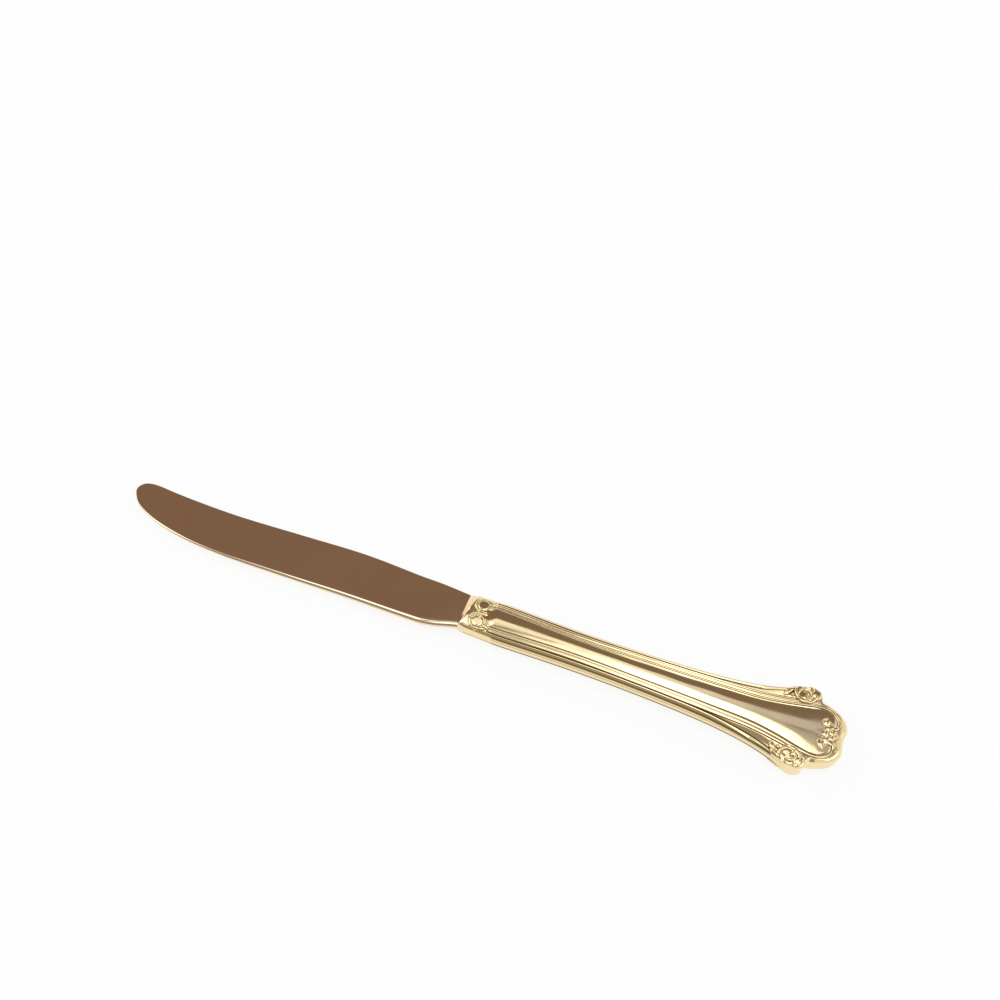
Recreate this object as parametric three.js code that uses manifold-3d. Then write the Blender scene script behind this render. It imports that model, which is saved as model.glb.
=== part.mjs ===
import * as THREE from 'three';
import { mergeVertices } from 'three/addons/utils/BufferGeometryUtils.js';
import Module from 'manifold-3d';

// Table knife with a hollow handle, in millimetres.
// It lies flat: +X runs from the blade tip to the handle end, -Y is the cutting edge and +Z is up.

const wasm = await Module();
wasm.setup();

// Whole knife
const BLADE_LENGTH = 118.1;
const BOLSTER_LENGTH = 2;
const HANDLE_LENGTH = 118.2;
const HALF_THICKNESS = 3.75;

// Blade, bolster and tang
const HEEL_THICKNESS = 2.4;
const TIP_THICKNESS = 0.9;
const BLADE_WIDTH = 16.4;
const EDGE_BEVEL = 1.1;
const SPINE_CHAMFER = 0.3;
const HEEL_WIDTH = 11.9;
const HEEL_OFFSET = -0.1;
const BOLSTER_SETBACK = 0.25;
const BOLSTER_ROOT = 0.5;
const TANG_LENGTH = 52;
const TANG_WIDTH = 5.6;
const TANG_TIP_WIDTH = 3.2;
const TANG_THICKNESS = 2.2;

// Handle shells: stations along the handle
const THREAD_STATION = 7.4;
const COLLAR_STATION = 11;
const EAR_FROM_END = 14.6;
const EAR_FLARE = 12.2;
const EAR_TO_NOTCH = 5.4;
const POLE_SETBACK = 0.6;

// Handle shells: full widths of the outline and of the raised panel
const MOUTH_WIDTH = 12.2;
const COLLAR_WIDTH = 13;
const WAIST_WIDTH = 11.8;
const FLARE_WIDTH = 14.4;
const SHOULDER_WIDTH = 18.4;
const EAR_SPAN = 26.5;
const NOTCH_WIDTH = 20.3;
const MOUTH_PANEL_WIDTH = 6.6;
const WAIST_PANEL_WIDTH = 5;
const SHOULDER_PANEL_WIDTH = 8.3;
const POMMEL_PANEL_WIDTH = 14.8;

// Handle shells: section
const MOUTH_CROWN = 3.3;
const POMMEL_CROWN = 3.3;
const PANEL_RISE = 0.35;
const SHAFT_SQUARENESS = 4;
const POMMEL_SQUARENESS = 12;
const SHELL_WALL = 0.8;
const CROWN_WALL = 0.95;
const SOLDER_THICKNESS = 0.25;
const CEMENT_CLEARANCE = 0.3;
const CUT_OVERLAP = 1;

// Threads, cove and border on each shell
const FINE_THREAD = 0.9;
const FULL_THREAD = 1.15;
const THREAD_RISE = 0.09;
const THREAD_GROOVE = 0.18;
const COVE_DEPTH = 0.35;
const COVE_FULL_WIDTH = 2.5;
const COVE_LEAST_WIDTH = 0.05;
const BORDER_WIDTH = 1.4;
const CAP_BORDER_WIDTH = 0.6;
const BORDER_RISE = 0.12;

// Depth to which leaves and drops are sunk in the surface
const LEAF_SINK = 0.08;

// Scroll ears at the shoulders
const EAR_RADIUS = 2.6;
const EAR_RISE = 0.4;
const EAR_DEPTH = 0.6;
const EAR_LEAF_LENGTH = 4.6;
const EAR_LEAF_WIDTH = 1.5;
const EAR_LEAF_TURN = 0.56;
const NOTCH_LOBE_RADIUS = 1.4;
const NOTCH_LOBE_RISE = 0.35;

// Shell at the handle end
const PETAL_LENGTH = 3.8;
const PETAL_WIDTH = 1.25;
const PETAL_COUNT = 5;
const PETAL_SPREAD = 0.58;
const PETAL_ROOT = 2.9;
const ROOT_LOBE_RADIUS = 0.75;
const ROOT_LOBE_RISE = 0.25;
const SCROLL_EYE_RADIUS = 0.95;
const SCROLL_EYE_RISE = 0.4;

// Scrolls at the mouth
const ROSETTE_STATION = 3.7;
const ROSETTE_OFFSET = 2.9;
const ROSETTE_RADIUS = 1.5;
const ROSETTE_DEPTH = 1.8;
const ROSETTE_SHOULDER = 0.65;
const ROSETTE_ROUNDING = 0.2;
const CRESCENT_RADIUS = 2.05;
const CRESCENT_TUBE = 0.45;
const CRESCENT_TILT = 0.3;
const MOUTH_LEAF_LENGTH = 4.2;
const MOUTH_LEAF_WIDTH = 1.1;
const MOUTH_DROP_LENGTH = 2;
const MOUTH_DROP_WIDTH = 0.9;

// Positions that follow from the sizes above
const KNIFE_LENGTH = BLADE_LENGTH + BOLSTER_LENGTH + HANDLE_LENGTH;
const TIP_X = -KNIFE_LENGTH / 2;
const HEEL_X = TIP_X + BLADE_LENGTH;
const MOUTH_X = HEEL_X + BOLSTER_LENGTH;
const END_X = MOUTH_X + HANDLE_LENGTH;
const EAR_X = END_X - EAR_FROM_END;
const NOTCH_X = EAR_X + EAR_TO_NOTCH;
const CAP_LENGTH = END_X - NOTCH_X;
const POLE_X = NOTCH_X - POLE_SETBACK;
const EAR_Y = EAR_SPAN / 2 - EAR_RADIUS;
const SEAM_BASE = SOLDER_THICKNESS / 2;

// Turns a list of triangle corners into a closed solid.
function solidFromTriangles(corners) {
  const soup = new THREE.BufferGeometry();
  const numbers = corners.flatMap((corner) => [corner.x, corner.y, corner.z]);
  soup.setAttribute('position', new THREE.Float32BufferAttribute(numbers, 3));
  return solidFromGeometry(soup);
}

// Welds the corners of a surface and drops triangles that have collapsed to a line.
function solidFromGeometry(geometry) {
  const bare = geometry.clone();
  bare.deleteAttribute('normal');
  bare.deleteAttribute('uv');
  const welded = mergeVertices(bare, 1e-4);
  const index = Array.from(welded.index.array);
  const kept = [];
  for (let i = 0; i < index.length; i += 3) {
    const [a, b, c] = index.slice(i, i + 3);
    if (a !== b && b !== c && c !== a) {
      kept.push(a, b, c);
    }
  }
  const mesh = new wasm.Mesh({
    numProp: 3,
    vertProperties: new Float32Array(welded.attributes.position.array),
    triVerts: new Uint32Array(kept),
  });
  return new wasm.Manifold(mesh);
}

// Loft through closed rings with the same number of corners, capped at both ends.
function loft(rings) {
  const corners = [];
  for (let i = 0; i + 1 < rings.length; i += 1) {
    const here = rings[i];
    const next = rings[i + 1];
    for (let j = 0; j < here.length; j += 1) {
      const k = (j + 1) % here.length;
      corners.push(here[j], here[k], next[k], here[j], next[k], next[j]);
    }
  }
  const first = rings[0];
  const last = rings[rings.length - 1];
  for (let j = 1; j + 1 < first.length; j += 1) {
    corners.push(first[0], first[j + 1], first[j]);
    corners.push(last[0], last[j], last[j + 1]);
  }
  return solidFromTriangles(corners);
}

// Outline of the blade from tip to heel: share of the length, then the spine side and the edge side
// as shares of the blade's width. The spine dips behind the raised, rounded tip.
const BLADE_OUTLINE = [
  [0, 0.159, 0.061],
  [0.011, 0.287, -0.043],
  [0.03, 0.372, -0.146],
  [0.056, 0.387, -0.25],
  [0.1, 0.366, -0.378],
  [0.19, 0.338, -0.518],
  [0.31, 0.329, -0.585],
  [0.5, 0.387, -0.576],
  [0.69, 0.445, -0.546],
  [0.86, 0.402, -0.543],
];

// Last part of the outline: share of the length and how far it has closed in on the heel's width.
const HEEL_CURVE = [[0.905, 0.05], [0.947, 0.36], [0.977, 0.74], [1, 1]];

function bladeSide(side) {
  const points = BLADE_OUTLINE.map(([share, spine, edge]) => {
    const across = side > 0 ? spine : edge;
    return new THREE.Vector3(TIP_X + share * BLADE_LENGTH, across * BLADE_WIDTH, 0);
  });
  const belly = points[points.length - 1].y;
  const heel = HEEL_OFFSET + (side * HEEL_WIDTH) / 2;
  for (const [share, closed] of HEEL_CURVE) {
    const y = belly + (heel - belly) * closed;
    points.push(new THREE.Vector3(TIP_X + share * BLADE_LENGTH, y, 0));
  }
  return new THREE.CatmullRomCurve3(points);
}

function bladePoint(x, y, lift) {
  const share = (x - TIP_X) / BLADE_LENGTH;
  const half = (TIP_THICKNESS + (HEEL_THICKNESS - TIP_THICKNESS) * share) / 2;
  return new THREE.Vector3(x, y, lift * half);
}

// The blade is flat on both faces and tapers in thickness from heel to tip. Its edge has a narrow
// two-step bevel that grows towards the heel, and its spine has broken corners.
function bladeSolid() {
  const spine = bladeSide(1);
  const edge = bladeSide(-1);
  const steps = 39;
  const lift = [0.6, 1, 1, 0.52, 0];
  const rings = [];
  for (let i = 0; i <= steps; i += 1) {
    const top = spine.getPoint(i / steps);
    const low = edge.getPoint(i / steps);
    const span = top.y - low.y;
    const share = (top.x - TIP_X) / BLADE_LENGTH;
    const bevel = Math.min(EDGE_BEVEL * (0.3 + 0.7 * share), span * 0.4);
    const chamfer = Math.min(SPINE_CHAMFER, span * 0.2);
    const across = [top.y, top.y - chamfer, low.y + bevel, low.y + bevel * 0.35, low.y];
    const upper = across.map((y, j) => bladePoint(top.x, y, lift[j]));
    const lower = across.map((y, j) => bladePoint(top.x, y, -lift[j]));
    rings.push([...upper, ...lower.slice(0, -1).reverse()]);
  }
  return loft(rings);
}

// Bolster: a plain sloped shoulder that rises from the blade's faces to the handle mouth.
function bolsterSolid() {
  const sides = 28;
  const rings = [];
  for (const along of [-BOLSTER_ROOT / BOLSTER_LENGTH, 0, 0.5, 1]) {
    const ring = [];
    const plainWidth = HEEL_WIDTH + (MOUTH_WIDTH - HEEL_WIDTH) * along;
    const halfWidth = plainWidth / 2 - BOLSTER_SETBACK * (1 - along);
    const halfHeight = HEEL_THICKNESS / 2 + (MOUTH_CROWN - HEEL_THICKNESS / 2) * along;
    const middle = HEEL_OFFSET * (1 - along);
    const squareness = SHAFT_SQUARENESS + 3 * (1 - along);
    for (let j = 0; j < sides; j += 1) {
      const angle = (2 * Math.PI * j) / sides;
      const c = Math.cos(angle);
      const s = Math.sin(angle);
      const y = middle + halfWidth * Math.sign(c) * Math.abs(c) ** (2 / squareness);
      const z = halfHeight * Math.sign(s) * Math.abs(s) ** (2 / squareness);
      ring.push(new THREE.Vector3(HEEL_X + along * BOLSTER_LENGTH, y, z));
    }
    rings.push(ring);
  }
  return loft(rings);
}

// Tang: a flat tapered bar running from the bolster into the handle.
function tangSolid(clearance, reach) {
  const end = MOUTH_X + TANG_LENGTH + clearance;
  const rings = [];
  for (const [x, width] of [[MOUTH_X - reach, TANG_WIDTH], [end, TANG_TIP_WIDTH]]) {
    const halfWidth = width / 2 + clearance;
    const halfHeight = TANG_THICKNESS / 2 + clearance;
    rings.push([
      new THREE.Vector3(x, halfWidth, -halfHeight),
      new THREE.Vector3(x, halfWidth, halfHeight),
      new THREE.Vector3(x, -halfWidth, halfHeight),
      new THREE.Vector3(x, -halfWidth, -halfHeight),
    ]);
  }
  return loft(rings);
}

// Rails of the handle from mouth to end. Each row has the middle line's x, the panel edge's x and half
// width, the outline's x and half width, how far the section has changed from the shaft's oval to the
// pommel's square one, and how much of the full thread is left. The middle line stops at a pole short
// of the end and the other rails swing round it. The outline flares into the ear, nicks in at the notch
// and closes in a broad flat cap. The panel edge turns back there in a bracket shape to meet the shell,
// and the full thread runs out into the ear.
const shaft = (share) => {
  const start = MOUTH_X + COLLAR_STATION;
  return start + share * (EAR_X - EAR_FLARE - start);
};
const flare = (share) => EAR_X - EAR_FLARE * (1 - share);
const hook = (share) => EAR_X + EAR_TO_NOTCH * share;
const cap = (share) => END_X - CAP_LENGTH * (1 - share);
const earOut = (share) => (SHOULDER_WIDTH + (EAR_SPAN - SHOULDER_WIDTH) * share) / 2;
const notchOut = (share) => (NOTCH_WIDTH + (EAR_SPAN - NOTCH_WIDTH) * share) / 2;

const THREAD_X = MOUTH_X + THREAD_STATION;
const HANDLE_RAILS = [
  [MOUTH_X, MOUTH_X, MOUTH_PANEL_WIDTH * 0.52, MOUTH_X, MOUTH_WIDTH * 0.5, 0, 1],
  [THREAD_X, THREAD_X, MOUTH_PANEL_WIDTH * 0.51, THREAD_X, COLLAR_WIDTH * 0.49, 0, 1],
  [shaft(0), shaft(0), MOUTH_PANEL_WIDTH * 0.5, shaft(0), COLLAR_WIDTH * 0.5, 0, 1],
  [shaft(0.29), shaft(0.29), WAIST_PANEL_WIDTH * 0.5, shaft(0.29), WAIST_WIDTH * 0.5, 0.06, 1],
  [shaft(0.58), shaft(0.58), WAIST_PANEL_WIDTH * 0.62, shaft(0.58), WAIST_WIDTH * 0.51, 0.12, 1],
  [shaft(0.85), shaft(0.85), SHOULDER_PANEL_WIDTH * 0.464, shaft(0.85), FLARE_WIDTH * 0.5, 0.19, 1],
  [flare(0), flare(0), SHOULDER_PANEL_WIDTH * 0.5, flare(0), SHOULDER_WIDTH * 0.5, 0.25, 1],
  [flare(0.58), flare(0.58), POMMEL_PANEL_WIDTH * 0.351, flare(0.58), earOut(0.52), 0.5, 1],
  [hook(0.05), hook(0.05), POMMEL_PANEL_WIDTH * 0.432, hook(0.05), earOut(0.96), 1, 0.7],
  [hook(0.45), hook(0.52), POMMEL_PANEL_WIDTH * 0.47, hook(0.52), notchOut(1), 1, 0.1],
  [hook(0.7), hook(0.82), POMMEL_PANEL_WIDTH * 0.49, hook(0.82), notchOut(0.69), 1, 0],
  [POLE_X, cap(0.05), POMMEL_PANEL_WIDTH * 0.5, NOTCH_X, notchOut(0), 1, 0],
  [POLE_X, cap(0.28), POMMEL_PANEL_WIDTH * 0.486, cap(0.24), NOTCH_WIDTH * 0.453, 1, 0],
  [POLE_X, cap(0.55), POMMEL_PANEL_WIDTH * 0.365, cap(0.72), NOTCH_WIDTH * 0.35, 0.6, 0],
  [POLE_X, cap(0.6), POMMEL_PANEL_WIDTH * 0.223, cap(0.94), NOTCH_WIDTH * 0.227, 0.3, 0],
  [POLE_X, cap(0.45), 0, END_X, 0, 0.3, 0],
];
const STEPS_BETWEEN_RAIL_POINTS = [2, 2, 2, 2, 2, 2, 2, 2, 2, 2, 2, 2, 2, 2, 2];

function railCurve(column, width) {
  const far = HANDLE_RAILS.map((row) => new THREE.Vector3(row[column], width ? row[width] : 0, 0));
  const near = far.map((point) => new THREE.Vector3(point.x, -point.y, 0)).reverse();
  return new THREE.CatmullRomCurve3([...far, ...near.slice(1)]);
}

const middleRail = railCurve(0, 0);
const panelRail = railCurve(1, 2);
const outerRail = railCurve(3, 4);

// Value of a column, counted from the last, between two rows of the table. It is the same on the far
// side and the near side.
function railValue(parameter, column) {
  const last = HANDLE_RAILS.length - 1;
  const place = last * (1 - Math.abs(2 * parameter - 1));
  const row = Math.min(Math.floor(place), last - 1);
  return THREE.MathUtils.lerp(HANDLE_RAILS[row].at(column), HANDLE_RAILS[row + 1].at(column), place - row);
}

function squarenessAt(parameter) {
  const change = railValue(parameter, -2);
  return SHAFT_SQUARENESS + (POMMEL_SQUARENESS - SHAFT_SQUARENESS) * change;
}

// Parameters of the sections, from the far side of the mouth round the end to the near side.
function railParameters() {
  const half = STEPS_BETWEEN_RAIL_POINTS;
  const counts = [...half, ...half.slice().reverse()];
  const values = [];
  counts.forEach((count, interval) => {
    for (let i = 0; i < count; i += 1) {
      values.push((interval + i / count) / counts.length);
    }
  });
  return [...values, 1];
}

// One section from the middle line over the panel edge to the outline. With an inset it lies that far
// inside the outline and passes straight behind the ears, which are solid.
function railSection(parameter, inset) {
  const middle = middleRail.getPoint(parameter);
  middle.x = Math.min(middle.x, POLE_X);
  const panel = panelRail.getPoint(parameter);
  const outer = outerRail.getPoint(parameter);
  if (inset > 0) {
    outer.y = THREE.MathUtils.clamp(outer.y, -NOTCH_WIDTH / 2, NOTCH_WIDTH / 2);
    outer.add(middle.clone().sub(outer).setLength(inset));
  }
  const panelRun = panel.distanceTo(middle);
  const outerRun = outer.distanceTo(panel);
  const station = middle.x - MOUTH_X;
  const squareness = squarenessAt(parameter);
  return { middle, panel, outer, panelRun, outerRun, station, squareness };
}

function onSection(section, run) {
  if (run <= section.panelRun) {
    return section.middle.clone().lerp(section.panel, run / section.panelRun);
  }
  return section.panel.clone().lerp(section.outer, (run - section.panelRun) / section.outerRun);
}

function crownAt(station) {
  return MOUTH_CROWN + (POMMEL_CROWN - MOUTH_CROWN) * (station / HANDLE_LENGTH);
}

// Height of the plain oval section: full at the middle line and zero at the outline.
function ovalHeight(crown, share, squareness) {
  return crown * Math.max(0, 1 - share ** squareness) ** (1 / squareness);
}

// Height of the plain oval at a place on the handle, found from the outline's width there.
function surfaceHeight(x, y) {
  const crown = crownAt(x - MOUTH_X) - SEAM_BASE;
  if (x > POLE_X) {
    const share = Math.hypot((x - POLE_X) / (END_X - POLE_X), (2 * y) / NOTCH_WIDTH);
    return SEAM_BASE + ovalHeight(crown, share, POMMEL_SQUARENESS);
  }
  let low = 0;
  let high = 0.5;
  for (let i = 0; i < 30; i += 1) {
    const middle = (low + high) / 2;
    if (outerRail.getPoint(middle).x < x) {
      low = middle;
    } else {
      high = middle;
    }
  }
  const share = Math.abs(y) / outerRail.getPoint(low).y;
  return SEAM_BASE + ovalHeight(crown, share, squarenessAt(low));
}

// Solid that fills the handle's outline between a base plane and the points of each section.
function sweepHandle(sections, base) {
  const corners = [];
  const floor = (point) => new THREE.Vector3(point.x, point.y, base);
  for (let i = 0; i + 1 < sections.length; i += 1) {
    const here = [floor(sections[i][0]), ...sections[i], floor(sections[i].at(-1))];
    const next = [floor(sections[i + 1][0]), ...sections[i + 1], floor(sections[i + 1].at(-1))];
    for (let j = 1; j < here.length; j += 1) {
      const k = (j + 1) % here.length;
      corners.push(here[j], next[k], here[k], here[j], next[j], next[k]);
    }
  }
  for (const [section, turned] of [[sections[0], false], [sections.at(-1), true]]) {
    const root = floor(section[0]);
    const rim = [...section, floor(section.at(-1))];
    for (let j = 0; j + 1 < rim.length; j += 1) {
      const pair = turned ? [rim[j + 1], rim[j]] : [rim[j], rim[j + 1]];
      corners.push(root, ...pair);
    }
  }
  return solidFromTriangles(corners);
}

// Outside of a half shell: oval section with the panel groove, a fine and a full thread, cove and border.
function shellSection(parameter) {
  const section = railSection(parameter, 0);
  const left = railValue(parameter, -1);
  const plainBorder = THREE.MathUtils.lerp(CAP_BORDER_WIDTH, BORDER_WIDTH, left);
  const wanted = FINE_THREAD + FULL_THREAD * left + plainBorder + COVE_LEAST_WIDTH;
  const fit = Math.min(1, section.outerRun / wanted);
  const fine = FINE_THREAD * fit;
  const full = FULL_THREAD * left * fit;
  const border = plainBorder * fit;
  const edge = section.panelRun;
  const total = edge + section.outerRun;
  const coveWidth = section.outerRun - fine - full - border;
  const cove = COVE_DEPTH * Math.min(1, coveWidth / COVE_FULL_WIDTH);
  const fullRise = THREE.MathUtils.lerp(-THREAD_GROOVE, THREAD_RISE, left);
  const shape = [
    [0, PANEL_RISE],
    [edge * 0.4, PANEL_RISE * 0.87],
    [edge * 0.78, PANEL_RISE * 0.46],
    [edge, -THREAD_GROOVE],
    [edge + fine * 0.5, THREAD_RISE],
    [edge + fine, -THREAD_GROOVE],
    [edge + fine + full * 0.5, fullRise],
    [edge + fine + full, -THREAD_GROOVE],
    [edge + fine + full + coveWidth * 0.5, -cove],
    [total - border, -THREAD_GROOVE],
    [total - border * 0.62, BORDER_RISE],
    [total - border * 0.3, 0],
    [total - border * 0.1, 0],
    [total, 0],
  ];
  const crown = crownAt(section.station) - SEAM_BASE;
  const relief = section.station < THREAD_STATION - 1e-6 ? 0 : 1;
  return shape.map(([run, rise]) => {
    const point = onSection(section, run);
    point.z = SEAM_BASE + ovalHeight(crown, run / total, section.squareness) + rise * relief;
    return point;
  });
}

// Points on the mouth plane move along the handle, to open a hollow there or to keep clear of it.
function shiftMouth(point, shift) {
  if (point.x < MOUTH_X + 1e-6) {
    point.x += shift;
  }
  return point;
}

// Plain oval section drawn in from the outline and down from the crown.
function insideSection(parameter, inset, drop, base, mouthShift) {
  const section = railSection(parameter, inset);
  const crown = crownAt(section.station) - drop - base;
  return [0, 0.5, 0.8, 0.95, 1].map((share) => {
    const point = section.middle.clone().lerp(section.outer, share);
    point.z = base + ovalHeight(crown, share, section.squareness);
    return shiftMouth(point, mouthShift);
  });
}

// Flat plate over the whole handle outline, drawn in by an inset.
function plateSection(parameter, inset, top, mouthShift) {
  const section = railSection(parameter, inset);
  return [section.middle, section.outer].map((point) => {
    point.z = top;
    return shiftMouth(point, mouthShift);
  });
}

function revolved(profile, segments, centre) {
  const points = profile.map(([radius, height]) => new THREE.Vector2(radius, height));
  const geometry = new THREE.LatheGeometry(points, segments);
  geometry.rotateX(Math.PI / 2);
  geometry.translate(...centre);
  return solidFromGeometry(geometry);
}

// Raised drop or leaf, a long ellipsoid sunk a little in the handle's surface and lying along its slope.
function leaf(x, y, length, width, turn, rise = width * 0.42 - LEAF_SINK, sink = LEAF_SINK) {
  const reach = length * 0.35;
  const startHeight = surfaceHeight(x - reach * Math.cos(turn), y - reach * Math.sin(turn));
  const endHeight = surfaceHeight(x + reach * Math.cos(turn), y + reach * Math.sin(turn));
  const geometry = new THREE.SphereGeometry(1, 8, 6);
  geometry.rotateX(Math.PI / 2);
  geometry.scale(length / 2, width / 2, rise + sink);
  geometry.rotateY(Math.atan2(startHeight - endHeight, 2 * reach));
  geometry.rotateZ(turn);
  geometry.translate(x, y, (startHeight + endHeight) / 2 - sink);
  return solidFromGeometry(geometry);
}

// Scroll ear: a round medallion with a raised ring, a dished floor and a bead in the middle.
function earSolid(side) {
  const profile = [
    [0, -EAR_DEPTH * 2.4],
    [EAR_RADIUS * 0.9, -EAR_DEPTH * 2.4],
    [EAR_RADIUS, -EAR_DEPTH * 0.9],
    [EAR_RADIUS * 0.93, -EAR_DEPTH * 0.2],
    [EAR_RADIUS * 0.84, 0],
    [EAR_RADIUS * 0.74, -EAR_DEPTH * 0.25],
    [EAR_RADIUS * 0.64, -EAR_DEPTH * 0.9],
    [EAR_RADIUS * 0.38, -EAR_DEPTH],
    [EAR_RADIUS * 0.26, -EAR_DEPTH * 0.45],
    [0, -EAR_DEPTH * 0.25],
  ];
  const height = surfaceHeight(EAR_X, EAR_Y) + EAR_RISE;
  return revolved(profile, 18, [EAR_X, side * EAR_Y, height]);
}

// Ornament stamped at the shoulder: the ear, the leaf it springs from and the lobe before the notch.
function shoulderOrnament(side) {
  const leafX = EAR_X - EAR_RADIUS - EAR_LEAF_LENGTH * 0.38;
  const leafY = side * (EAR_Y - EAR_RADIUS * 0.2);
  const leafTurn = Math.PI / 2 - side * EAR_LEAF_TURN;
  const lobeX = EAR_X + EAR_TO_NOTCH * 0.565;
  const lobeY = side * (EAR_Y + EAR_RADIUS * 0.25);
  const lobe = NOTCH_LOBE_RADIUS * 2;
  return [
    earSolid(side),
    leaf(leafX, leafY, EAR_LEAF_LENGTH, EAR_LEAF_WIDTH, leafTurn),
    leaf(lobeX, lobeY, lobe, lobe, 0, NOTCH_LOBE_RISE, COVE_DEPTH + LEAF_SINK),
  ];
}

// Ornament stamped at the handle end: a small fan shell, its petals springing from a lobe, between
// the eyes of the panel's scrolls.
function endOrnament() {
  const solids = [];
  for (const side of [-1, 1]) {
    const eyeX = cap(0.27);
    const eyeY = side * POMMEL_PANEL_WIDTH * 0.24;
    const eye = SCROLL_EYE_RADIUS * 2;
    solids.push(leaf(eyeX, eyeY, eye * 1.3, eye, side * 0.5, SCROLL_EYE_RISE));
  }
  const rootX = END_X - PETAL_ROOT;
  const lobe = ROOT_LOBE_RADIUS * 2;
  solids.push(leaf(rootX, 0, lobe, lobe, 0, ROOT_LOBE_RISE));
  for (let i = 0; i < PETAL_COUNT; i += 1) {
    const angle = (i - (PETAL_COUNT - 1) / 2) * PETAL_SPREAD;
    const x = rootX - PETAL_LENGTH * 0.5 * Math.cos(angle);
    const y = PETAL_LENGTH * 0.5 * Math.sin(angle);
    solids.push(leaf(x, y, PETAL_LENGTH, PETAL_WIDTH, -angle));
  }
  return solids;
}

// Ornament stamped at the mouth: two rosettes, each with a crescent round its blade side, leaves
// beside them and a drop between. A crescent is a ring that dips into the surface towards the handle.
function mouthOrnament() {
  const x = MOUTH_X + ROSETTE_STATION;
  const top = HALF_THICKNESS;
  const rosette = [
    [0, top - ROSETTE_DEPTH],
    [ROSETTE_RADIUS, top - ROSETTE_DEPTH],
    [ROSETTE_RADIUS, top - ROSETTE_SHOULDER],
    [ROSETTE_RADIUS * 0.85, top - ROSETTE_ROUNDING],
    [ROSETTE_RADIUS * 0.5, top],
    [0, top],
  ];
  const solids = [leaf(x + ROSETTE_RADIUS, 0, MOUTH_DROP_LENGTH, MOUTH_DROP_WIDTH, 0)];
  for (const side of [-1, 1]) {
    const y = side * ROSETTE_OFFSET;
    solids.push(revolved(rosette, 12, [x, y, 0]));
    const crescent = new THREE.TorusGeometry(CRESCENT_RADIUS, CRESCENT_TUBE, 5, 14);
    crescent.rotateY(CRESCENT_TILT);
    crescent.translate(x, y, surfaceHeight(x, y) - CRESCENT_RADIUS * Math.sin(CRESCENT_TILT));
    solids.push(solidFromGeometry(crescent));
    const leafY = y + side * ROSETTE_RADIUS * 1.35;
    solids.push(leaf(x + ROSETTE_RADIUS * 0.5, leafY, MOUTH_LEAF_LENGTH, MOUTH_LEAF_WIDTH, 0));
    const tipX = x + MOUTH_LEAF_LENGTH * 0.8;
    const tipY = y + side * ROSETTE_RADIUS;
    solids.push(leaf(tipX, tipY, MOUTH_LEAF_LENGTH * 0.6, MOUTH_LEAF_WIDTH, side * -0.25));
  }
  return solids;
}

function geometryFromSolid(solid) {
  const mesh = solid.getMesh();
  const geometry = new THREE.BufferGeometry();
  geometry.setAttribute('position', new THREE.Float32BufferAttribute(mesh.vertProperties, 3));
  geometry.setIndex(Array.from(mesh.triVerts));
  return geometry;
}

function turnedOver(geometry) {
  const copy = geometry.clone();
  copy.scale(1, 1, -1);
  const index = Array.from(copy.index.array);
  for (let i = 0; i < index.length; i += 3) {
    [index[i + 1], index[i + 2]] = [index[i + 2], index[i + 1]];
  }
  copy.setIndex(index);
  return copy;
}

const parameters = railParameters();

// Half shell: the swept outside with its ornament, hollowed, open at the mouth and along the seam.
function halfShell() {
  const ornaments = [
    ...shoulderOrnament(1),
    ...shoulderOrnament(-1),
    ...endOrnament(),
    ...mouthOrnament(),
  ];
  let solid = sweepHandle(parameters.map(shellSection), SEAM_BASE);
  for (const ornament of ornaments) {
    solid = solid.add(ornament);
  }
  const hollow = parameters.map((t) => insideSection(t, SHELL_WALL, CROWN_WALL, SEAM_BASE, -CUT_OVERLAP));
  return solid.subtract(sweepHandle(hollow, SEAM_BASE - CUT_OVERLAP));
}

// Solder line: a thin plate between the two shells that follows their edges and is open inside.
function seamSolder() {
  const whole = parameters.map((t) => plateSection(t, 0, SEAM_BASE, 0));
  const top = SEAM_BASE + CUT_OVERLAP;
  const inside = parameters.map((t) => plateSection(t, SHELL_WALL, top, -CUT_OVERLAP));
  return sweepHandle(whole, -SEAM_BASE).subtract(sweepHandle(inside, -top));
}

// Cement: fills the hollow of both shells and leaves a slot for the tang, open at the mouth.
function handleCement() {
  const inset = SHELL_WALL + CEMENT_CLEARANCE;
  const drop = CROWN_WALL + CEMENT_CLEARANCE;
  const sections = parameters.map((t) => insideSection(t, inset, drop, 0, CEMENT_CLEARANCE));
  const upper = sweepHandle(sections, 0);
  const lower = solidFromGeometry(turnedOver(geometryFromSolid(upper)));
  return upper.add(lower).subtract(tangSolid(CEMENT_CLEARANCE, CUT_OVERLAP));
}

// Blade, bolster and tang are one forging.
function forgedBlade() {
  return bladeSolid().add(bolsterSolid()).add(tangSolid(0, BOLSTER_LENGTH / 2));
}

function metal(colour, roughness) {
  return new THREE.MeshStandardMaterial({ color: colour, roughness, metalness: 1 });
}

const knife = new THREE.Group();
knife.name = 'table_knife';

function addPiece(name, geometry, material) {
  geometry.translate(0, 0, HALF_THICKNESS);
  geometry.computeVertexNormals();
  const mesh = new THREE.Mesh(geometry, material);
  mesh.name = name;
  knife.add(mesh);
}

const shellGeometry = geometryFromSolid(halfShell());
const cement = new THREE.MeshStandardMaterial({ color: 0xb7a184, roughness: 0.9, metalness: 0 });

addPiece('blade', geometryFromSolid(forgedBlade()), metal(0xd8aa7c, 0.08));
addPiece('back_handle_shell', turnedOver(shellGeometry), metal(0xdcb968, 0.14));
addPiece('front_handle_shell', shellGeometry, metal(0xdcb968, 0.14));
addPiece('seam_solder', geometryFromSolid(seamSolder()), metal(0xcfae68, 0.3));
addPiece('handle_cement', geometryFromSolid(handleCement()), cement);

export default knife;
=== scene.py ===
import math

import bpy
import numpy as np
from mathutils import Matrix, Vector


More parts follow.
